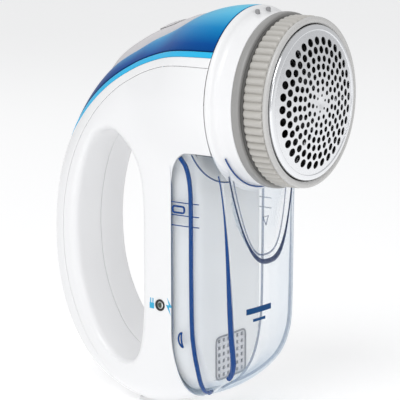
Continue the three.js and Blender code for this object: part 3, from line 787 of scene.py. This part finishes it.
def make_knob(crown):
    """A low pad that slides along the crown, with grip ridges across it."""
    base, swell, ridge, pitch = 0.2, 0.5, 0.16, 1.8
    points, triangles = scored(keep(crown, on_knob), on_knob, (-0.25, -0.6, -1.2, -2.2))
    depth = -on_knob(*points.T)
    rise = base + swell * np.sqrt(np.clip(depth / KNOB["half_width"], 0, 1))
    rise += ridge * smoothstep(depth, 0.9, 1.6) * np.cos((points[:, 1] - KNOB["y"]) * 2 * math.pi / pitch)
    points = points + vertex_normals(points, triangles) * rise[:, None]
    add_piece("switch_knob_pad", points, triangles, "pale", "switch", ["switch_knob"], thickness=1.5)


def make_column():
    """The column that stands inside the bin, open where the grille is."""
    core = surface_net(core_distance, (-39, -28, -2), (39, 4, 160), GRID)
    for edge in (lambda x, y, z: y + 11.0, lambda x, y, z: z - 130.0, outside_grille):
        core = keep(core, edge)
    add_piece("column_front", *core, "column", thickness=1.2)


def make_body():
    points, triangles = surface_net(body_distance, (-39.1, -40.0, -2.0), (39.1, 65.0, 171.0), GRID)
    points[:, 2] = np.maximum(points[:, 2], 0.05)  # just off the floor
    skin = points, triangles
    make_shells(skin)
    make_spine(skin)
    make_accents(skin)
    make_panel(skin)
    make_knob(make_insert(skin))
    make_column()


# ---------------- the head
# Closed profiles as [radius, y].
COLLAR = [
    (35.2, -36.12), (36.7, -36.15), (37.15, -36.5), (37.2, -37.2), (37.05, -38.0), (36.3, -38.8),
    (35.4, -39.3), (34.8, -40.1), (34.55, -41.2), (34.6, -43.0), (34.75, -45.5), (34.85, -47.3),
    (32.4, -47.3), (32.4, -39.5), (33.2, -36.12),
]
FLANGE = [
    (31.6, -47.4), (34.7, -47.4), (35.1, -47.8), (35.15, -49.2), (35.05, -50.3), (34.7, -50.7),
    (31.6, -50.7),
]
# A dark ring in the gap between the flange and the dial: painted shade.
FLANGE_GAP_SHADE = [(31.6, -50.7), (33.5, -50.7), (33.5, -51.9), (31.6, -51.9)]
RING_LIP = [
    (31.2, -60.6), (33.2, -60.6), (33.7, -61.0), (33.9, -61.6), (33.7, -62.2), (33.1, -62.5),
    (32.3, -62.5), (31.6, -62.3), (31.15, -61.8), (31.0, -61.2),
]
FOIL_HOOP = [
    (28.4, -61.2), (30.7, -61.2), (30.8, -62.4), (30.5, -63.0), (29.9, -63.3), (29.2, -63.4),
    (28.5, -63.5),
]
# A near black cup lining the inside of the head: painted shade seen through the foil's holes and the gaps
# round the ring.
PAINTED_SHADE_CUP = [
    (31.3, -36.0), (31.3, -59.0), (30.9, -59.0), (30.9, -36.6), (6.5, -36.6), (6.5, -36.0),
]
RIBS = 64
RIB_ROOT, RIB_TIP = 32.75, 34.1
DIAL_BORE, DIAL_SMOOTH_R = 31.7, 32.6
# Over the dial from its rear to its front: y, and the share of the ribs' relief there.
DIAL_LEVELS = [(-52.0, 0.55), (-52.5, 0.85), (-53.2, 1), (-59.6, 1), (-60.2, 0.8), (-60.5, 0.5)]
# Rings of holes in the foil, as [radius, number, hole radius, turn]. The last number is in hole steps.
HOLE_RINGS = [
    (24.5, 32, 1.66, 0.0), (21.0, 32, 1.5, 0.5), (17.6, 28, 1.3, 0.1), (14.5, 25, 1.28, 0.6),
    (11.5, 20, 1.16, 0.2), (8.6, 15, 1.14, 0.4), (5.8, 10, 0.95, 0.1), (3.2, 6, 0.55, 0.3),
]
FOIL_EDGE_R = 29.2
FOIL_FRONT = -66.4


def foil_y(r):
    """The foil's low dome, with a dimple in the middle."""
    dome, dome_radius, dimple, dimple_radius = 3.3, 29, 0.5, 1.3
    dome_y = FOIL_FRONT + dome * (r / dome_radius) ** 2.6
    return dome_y + dimple * np.exp(-((r / dimple_radius) ** 2))


def circle(u, v, r, steps):
    angles = np.arange(steps) / steps * 2 * np.pi
    return np.stack([u + r * np.cos(angles), v + r * np.sin(angles)], 1)


def foil_holes():
    """The holes as (u, v, radius) round the foil's middle."""
    holes = []
    for ring, count, hole, turn in HOLE_RINGS:
        for k in range(count):
            a = (k + turn) / count * 2 * math.pi
            holes.append((ring * math.cos(a), ring * math.sin(a), hole))
    return holes


def make_foil():
    """A thin domed disc with round holes through it."""
    spacing, edge_gap, hole_gap = 1.3, 0.7, 0.35  # of the points between the holes
    holes = foil_holes()
    outlines = [circle(0, 0, FOIL_EDGE_R, 160)] + [circle(*hole, 18) for hole in holes]
    steps = np.arange(-FOIL_EDGE_R, FOIL_EDGE_R + spacing, spacing)
    inner = np.stack(np.meshgrid(steps, steps), -1).reshape(-1, 2)
    inner = inner[np.hypot(*inner.T) < FOIL_EDGE_R - edge_gap]
    for u, v, hole in holes:
        inner = inner[np.hypot(inner[:, 0] - u, inner[:, 1] - v) > hole + hole_gap]
    edges = []
    for outline in outlines:
        start, count = len(edges), len(outline)
        edges += [(start + k, start + (k + 1) % count) for k in range(count)]
    flat = [Vector(p) for p in np.vstack([*outlines, inner])]
    points, _, faces = delaunay_2d_cdt(flat, edges, [], 0, 1e-6)[:3]
    points = np.array([tuple(p) for p in points])
    kept = []
    for face in faces:
        middle = points[list(face)].mean(0)
        if all(math.hypot(middle[0] - u, middle[1] - v) > hole * 0.97 for u, v, hole in holes):
            kept.append(face)
    y = foil_y(np.hypot(*points.T))
    points = np.stack([points[:, 0], y, HEAD_Z + points[:, 1]], 1)
    sheet = facing(points, kept, axis=1)
    add_piece("foil_skin", *sheet, "satin", "foil", ["shaving_foil"], thickness=0.35)


def make_dial():
    """A ring with rounded ribs round it."""
    count = RIBS * 8
    angles = np.arange(count) / count * 2 * math.pi
    ribbed = RIB_ROOT + (RIB_TIP - RIB_ROOT) * np.abs(np.sin(angles * RIBS / 2)) ** 0.95
    rings = [(y, DIAL_SMOOTH_R + (ribbed - DIAL_SMOOTH_R) * share) for y, share in DIAL_LEVELS]
    bore = np.full(count, DIAL_BORE)
    rings = [(DIAL_LEVELS[0][0], bore), *rings, (DIAL_LEVELS[-1][0], bore)]
    rows = [
        np.stack([r * np.cos(angles), np.full(count, y), HEAD_Z + r * np.sin(angles)], 1)
        for y, r in rings
    ]
    mesh = face_outwards(np.vstack(rows), grid_faces(len(rows), count, True, True))
    add_piece("ribbed_dial", *mesh, "beige", "dial", ["height_dial"], angle=50)


def make_head():
    collar = turned(round_corners(COLLAR, 0.3, 2))
    add_piece("collar", *collar, "white", replaces=["head_collar"], angle=60)
    flange = turned(round_corners(FLANGE, 0.25, 2))
    add_piece("flange", *flange, "grey", replaces=["base_flange"], angle=50)
    add_piece("flange_gap_shade", *turned(FLANGE_GAP_SHADE), "recess", replaces=["base_flange"])
    make_dial()
    ring = turned(round_corners(RING_LIP, 0.2, 2))
    add_piece("ring_lip", *ring, "lip", "guard", ["guard_ring"], angle=60)
    hoop = turned(round_corners(FOIL_HOOP, 0.2, 2))
    add_piece("foil_hoop", *hoop, "polished", "foil", ["foil_frame"], angle=60)
    make_foil()
    add_piece("painted_shade_cup", *turned(PAINTED_SHADE_CUP, 96), "dark")
    for name, angle in (("left", 99.5), ("right", 87.0)):
        a = math.radians(angle)
        out = np.array((math.cos(a), 0, math.sin(a)))
        path = [(0, -40.3, HEAD_Z) + out * r for r in (33.8, 35.9, 36.3, 36.5)]
        add_piece(f"index_mark_{name}", *tube(path, [0.95, 0.95, 0.8, 0.4], 12), "mark")


# ---------------- the lint bin
# [z, y of the front, half widths at the rear edge, halfway and at the front]
BIN_LEVELS = [
    (6.2, -15.8, 7, 6, 4), (8.6, -21.8, 12, 10.4, 6), (12, -28.6, 16.4, 14.4, 9),
    (16, -34.4, 19.6, 17.8, 11.8), (20, -38.4, 21.8, 20.2, 14), (24.5, -41.2, 23.6, 22.2, 16.8),
    (31, -42.8, 25.2, 24.2, 19.6), (40, -43.3, 26.2, 25.7, 21.6), (64, -42.9, 26.5, 26.3, 22.9),
    (84, -42.2, 26.5, 26.5, 24.2), (98, -41.6, 26.6, 26.9, 26), (106, -41.2, 27.2, 28, 28.2),
    (112, -40.8, 28, 29.8, 31.4),
]
BIN_STEP = 10
NECK_CLEARANCE = 34.95
SCOOP = {"foot": 66.2, "height": 26.0, "half_width": 20.7, "power": 2.6, "depth": 3.4}
SCOOP_FACE = -34  # the scoop is ahead of this
# The lines moulded in each side of the bin: side, name, look, thickness, foot of the corner line.
BIN_SIDES = [(-1, "left", "blue_edge", 1.0, 18), (1, "right", "clear_edge", 0.55, 10)]
STRIPE_LINE = [
    (-18.4, 109.9), (-20.9, 106), (-22.1, 99), (-22.4, 88), (-22.4, 60), (-22.4, 32), (-21.9, 19),
    (-19.6, 10.6), (-16.5, 7.6),
]
SCORE_HEIGHTS = (91.4, 86.2, 82.0)
LATCH_SLOT = [(-13.8, 87.2), (-19.6, 87.2), (-19.6, 89.8), (-13.8, 89.8)]
NIB_MIDDLE = (-17.9, 34.8)
NIB_HALF_HEIGHT = 3.1
NIB_BULGES = (1.9, 0.5)  # of the crescent's outer and inner edge
OPEN_ARROW = [(1.0, 83.5), (5.0, 83.5), (3.0, 80.0)]
# The two bars on the front: name, height, left and right end, half thickness.
BARS = [("upper", 47.6, -15.5, 0.5, 1.2), ("lower", 43.6, -11.5, -3.5, 0.6)]


def bin_row(level):
    """Half of the bin's outline at one height, from the rear edge to the middle of the front."""
    z, y, rear, middle, front = level
    halfway = max(-24, (y + BIN_REAR) / 2)
    bow = min((BIN_REAR - y) / 4, 2.6)
    turn = min((BIN_REAR - y) / 4, 2.4)
    half = [
        (rear, BIN_REAR), (middle, halfway),
        (front + 0.4, y + bow + turn), (front, y + bow + turn * 0.4), (front * 0.93, y + bow * 0.9),
        (front * 0.72, y + bow * 0.5), (front * 0.38, y + bow * 0.14), (0, y),
    ]
    return [(u, v, z) for u, v in half]


def read_between(rows, place):
    """The row at a place that may lie between two rows."""
    i = int(min(place, len(rows) - 2))
    return rows[i] * (i + 1 - place) + rows[i + 1] * (place - i)


class BinForm:
    """The bin's surface as a fine grid, a row to each height, and places on it."""

    def __init__(self):
        rows = np.stack([catmull(bin_row(level), 8) for level in BIN_LEVELS])
        fine = catmull(rows.reshape(len(rows), -1), BIN_STEP)
        self.half = fine.reshape(len(fine), -1, 3)
        mirrored = self.half[:, ::-1][:, 1:] * (-1, 1, 1)
        self.grid = np.concatenate([self.half, mirrored], 1)

    def line(self, z):
        """The half outline at a height, on the +X side."""
        heights = self.half[:, 0, 2]
        return read_between(self.half, np.interp(z, heights, np.arange(len(heights))))

    def at_y(self, y, z, side):
        line = self.line(z)[::-1]
        return np.array((side * np.interp(y, line[:, 1], line[:, 0]), y, z))

    def at_x(self, x, z):
        line = self.line(z)[::-1]
        return np.array((x, np.interp(abs(x), line[:, 0], line[:, 1]), z))

    def at_share(self, share, z, side):
        """The point a given share of the way from the rear edge to the middle of the front."""
        line = self.line(z)
        return read_between(line, share * (len(line) - 1)) * (side, 1, 1)

    def on_side(self, outline, side, inwards=0.0):
        """A path on the bin's side from its [y, z] points, moved inwards by a distance."""
        return [self.at_y(y, z, side) + (-side * inwards, 0, 0) for y, z in outline]


def neck(x, y, z):
    """Below 0 clear of the head's neck."""
    return NECK_CLEARANCE - np.sqrt(x**2 + (z - HEAD_Z) ** 2)


def scoop_foot(x):
    return SCOOP["foot"] + SCOOP["height"] * (np.abs(x) / SCOOP["half_width"]) ** SCOOP["power"]


def scoop_level(x, y, z):
    """Below 0 outside the thumb scoop in the front wall."""
    return np.where(y < SCOOP_FACE, z - scoop_foot(x), -5.0)


def add_line(name, path, radius, look, closed=False):
    add_piece(name, *tube(path, radius, 8, closed), look, "bin", angle=60)


def make_bin_walls(form):
    """The clear wall and the thumb scoop, dished into its front."""
    quads = grid_faces(*form.grid.shape[:2])
    triangles = np.vstack([quads[:, [0, 1, 2]], quads[:, [0, 2, 3]]])
    points = form.grid.reshape(-1, 3)
    if (vertex_normals(points, triangles)[:, 1] * (points[:, 1] + 30)).mean() < 0:
        triangles = triangles[:, ::-1]
    wall, scoop = cut(keep((points, triangles), neck), scoop_level)
    add_piece("bin_skin", *wall, "clear", "bin", ["lint_bin"], thickness=1.5, rim="clear_edge")
    points, triangles = scored(scoop, scoop_level, (0.6, 1.4, 2.4, 3.6))
    dish = smoothstep(scoop_level(*points.T), 0.0, 4.0) * smoothstep(-points[:, 2], -108, -84)
    points = points + np.outer(SCOOP["depth"] * dish, (0, 1, 0))
    add_piece("thumb_scoop", points, triangles, "clear", "bin", thickness=1.2)


def make_corner(form, side, name, look, weight, foot):
    """A painted highlight, a pale see-through strip down a front corner of the bin, and the line that
    widens down its edge.
    """
    # The strip's pale colour is a painted highlight, wide at the top and narrowing downwards.
    glint_rows = []
    for z in np.linspace(101, 13, 50):
        width = 0.035 + 0.075 * smoothstep(z, 40, 100)
        shares = 0.325 + width * np.linspace(0, 1, 5)
        glint_rows.append([form.at_share(share, z, side) + (0, -0.12, 0) for share in shares])
    sheet = facing(np.vstack(glint_rows), grid_faces(50, 5), axis=1)
    add_piece(f"corner_painted_glint_{name}", *sheet, "clear_white", "bin", thickness=0.3)
    heights = np.linspace(104, foot, 60)
    path = [form.at_share(0.3, z, side) + (-side * 0.35, 0.2, 0) for z in heights]
    radius = (0.3 + 0.9 * smoothstep(-heights, -98, -45)) * weight
    add_line(f"bin_corner_{name}", path, radius, look)


def nib_outline():
    """A crescent in the side view."""
    y, z = NIB_MIDDLE
    angles = np.linspace(-0.5, 0.5, 15) * math.pi
    outer, inner = (
        [(y + bulge * math.cos(a), z + NIB_HALF_HEIGHT * math.sin(a)) for a in angles]
        for bulge in NIB_BULGES
    )
    return outer + inner[::-1][1:-1]


def make_bin_side(form, side, name, look, weight, foot):
    stripe = form.on_side(catmull(STRIPE_LINE, 6), side, inwards=0.55)
    add_line(f"bin_stripe_{name}", stripe, 0.95 * weight, look)
    make_corner(form, side, name, look, weight, foot)
    for z in SCORE_HEIGHTS:
        score = form.on_side([(y, z) for y in np.linspace(BIN_REAR - 0.4, -26.5, 14)], side)
        add_line(f"bin_score_{name}_{z:.0f}", score, 0.22, look)
    slot = form.on_side(round_corners(LATCH_SLOT, 1.0), side)
    add_line(f"latch_slot_{name}", slot, 0.42, look, closed=True)
    add_line(f"latch_nib_{name}", form.on_side(nib_outline(), side), 0.4, look, closed=True)


def make_scoop_lines(form):
    """The dark lip round the scoop, thick at its foot, and a finer line inside it."""
    edge = []
    for x in np.linspace(-24.5, 24.5, 71):
        z = scoop_foot(x)
        if math.hypot(x, HEAD_Z - z) > NECK_CLEARANCE + 0.8:
            edge.append(form.at_x(x, z) + (0, 0.3, 0))
    edge = np.array(edge)
    low = 1 - smoothstep(np.abs(edge[:, 0]), 1, 19)
    add_line("scoop_edge", edge, 0.32 + 0.78 * low, "dark_edge")
    inner = edge * (0.86, 1, 1) + np.outer(1.5 + low, (0, 0.6, 1))
    add_line("scoop_inner_edge", inner, 0.24 + 0.15 * low, "clear_edge")


def make_grille_frame():
    lo, hi = np.array(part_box("vent_grille")) / MM
    corners = [(lo[0], lo[2]), (hi[0], lo[2]), (hi[0], hi[2]), (lo[0], hi[2])]
    path = [(x, lo[1] - MIDDLE_Y - 0.1, z) for x, z in round_corners(corners, 2.5, 4)]
    add_piece("grille_frame", *tube(path, 0.4, 8, True), "mark", angle=60)


def make_neck_rims():
    """The lines where the bin's top goes round the head's neck."""
    radius = 35.2
    for name, y in (("rear", -24.5), ("front", -40.6)):
        across = np.linspace(-28.5, 28.5, 41)
        arc = [(x, y, HEAD_Z - math.sqrt(radius**2 - x * x)) for x in across]
        add_line(f"neck_rim_{name}", arc, 0.32, "blue_edge")


def make_bin_marks(form):
    """The arrow in the scoop and the two bars below it."""
    arrow = [form.at_x(x, z) + (0, 3.2, 0) for x, z in OPEN_ARROW]
    add_line("open_arrow", arrow, 0.25, "clear_edge", closed=True)
    for name, z, left, right, half in BARS:
        path = np.array([form.at_x(x, z) for x in np.linspace(left, right, 16)])
        edges = [path + (0, -0.12, rise * half) for rise in (-1, 1)]
        bar = facing(np.vstack(edges), grid_faces(2, len(path)), axis=1)
        add_piece(f"bin_bar_{name}", *bar, "print_blue", "bin", thickness=0.1)


def make_bin():
    form = BinForm()
    make_bin_walls(form)
    for side in BIN_SIDES:
        make_bin_side(form, *side)
    make_scoop_lines(form)
    make_grille_frame()
    make_neck_rims()
    make_bin_marks(form)


# ---------------- small things on the body
LAMP = (-7.2, 48.0)
# The icons beside the charge lamp as [y, z] from their middles, before they are scaled.
ICON_SCALE = 1.15
BOLT = [(0.9, 3.2), (-1.3, -0.3), (0.0, -0.3), (-0.8, -3.2), (1.4, 0.5), (0.1, 0.5)]
PLUG = [
    (-1.1, -1.4), (1.1, -1.4), (1.1, 0.7), (0.8, 0.7), (0.8, 2.4), (0.3, 2.4), (0.3, 0.7),
    (-0.3, 0.7), (-0.3, 2.4), (-0.8, 2.4), (-0.8, 0.7), (-1.1, 0.7),
]


def side_x(y, z):
    """How far out the body's left side is at a place in the side view."""
    x = np.linspace(-30, -8, 441)
    inside = body_distance(x, np.full_like(x, y), np.full_like(x, z)) < 0
    return x[np.argmax(inside)]


def make_icons():
    """A bolt and a plug on either side of the charge lamp."""
    lamp_y, lamp_z = LAMP
    icons = [("bolt", BOLT, lamp_y - 4.6, lamp_z), ("plug", PLUG, lamp_y + 4.6, lamp_z - 0.4)]
    for name, outline, y, z in icons:
        flat = [Vector((y + u * ICON_SCALE, z + v * ICON_SCALE)) for u, v in outline]
        places, _, faces = delaunay_2d_cdt(flat, [], [range(len(flat))], 1, 1e-6)[:3]
        points = [(side_x(*place) - 0.06, *place) for place in places]
        sheet = facing(points, faces, axis=0)
        add_piece(f"icon_{name}", *sheet, "print_cyan", thickness=0.08)


CAD_LOOKS = {
    "black": ["blade_hub", "fan_wheel", "motor_endcap", "transformer", "ac_inlet", "slide_switch",
              "led_bezel"],
    "satin": ["blade_1", "blade_2", "blade_3", "hub_spring", "motor_can", "motor_screw_1",
              "motor_screw_2", "shell_screw_1", "shell_screw_2", "shell_screw_3", "shell_screw_4"],
    "polished": ["motor_shaft"],
    "brass": ["shaft_bush", "inlet_pin_1", "inlet_pin_2"],
    "grey": ["motor_plate"],
    "cell": ["battery_1", "battery_2"],
    "board": ["circuit_board"],
    "grille": ["vent_grille"],
    "led": ["charge_led"],
    "white": ["base_pad"],
}


def dress_cad():
    """Gives the CAD objects that no piece replaces their looks."""
    for look, nodes in CAD_LOOKS.items():
        for node in nodes:
            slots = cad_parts[node].data.materials
            slots.clear()
            slots.append(MATERIALS[look])


# ---------------- floor and lights
FLOOR_HALF = 3
SKY = {"color": (0.985, 0.99, 1.0, 1), "on_things": 0.6, "seen": 1.0}
LAMPS_AIM = Vector((0, 0, 0.085))
# Name, azimuth, elevation, distance, size and power.
LAMPS = [
    ("key", -80, 50, 1.0, 0.6, 3.4), ("front", -35, 15, 1.2, 0.5, 1.2), ("back", 150, 40, 1.1, 0.8, 0.7),
]


def make_floor():
    corners = [(u * FLOOR_HALF, v * FLOOR_HALF, 0) for u, v in ((-1, -1), (1, -1), (1, 1), (-1, 1))]
    mesh = bpy.data.meshes.new("floor")
    mesh.from_pydata(corners, [], [(0, 1, 2, 3)])
    glow = {"Emission_Color": (1, 1, 1, 1), "Emission_Strength": 0.3}
    mesh.materials.append(principled("floor", (0.9, 0.9, 0.9), 0.9, Specular_IOR_Level=0.1, **glow))
    add_object("floor", mesh)


def make_sky():
    """An even light from all round, weaker on things than where the camera sees it."""
    world = bpy.data.worlds.new("studio")
    world.use_nodes = True
    tree = world.node_tree
    background = set_inputs(tree.nodes["Background"], Color=SKY["color"])
    seen = tree.nodes.new("ShaderNodeLightPath")
    strength = tree.nodes.new("ShaderNodeMapRange")
    set_inputs(strength, To_Min=SKY["on_things"], To_Max=SKY["seen"])
    tree.links.new(seen.outputs["Is Camera Ray"], strength.inputs["Value"])
    tree.links.new(strength.outputs["Result"], background.inputs["Strength"])
    bpy.context.scene.world = world


def make_lamps():
    for name, azimuth, elevation, distance, size, power in LAMPS:
        lamp = bpy.data.lights.new(name, "AREA")
        lamp.shape = "DISK"
        lamp.size = size
        lamp.energy = power
        aim_at(add_object(name, lamp), LAMPS_AIM, azimuth, elevation, distance)


bpy.context.scene.view_settings.view_transform = "Standard"
make_camera()
make_floor()
make_sky()
make_lamps()
make_body()
make_head()
make_bin()
make_icons()
dress_cad()
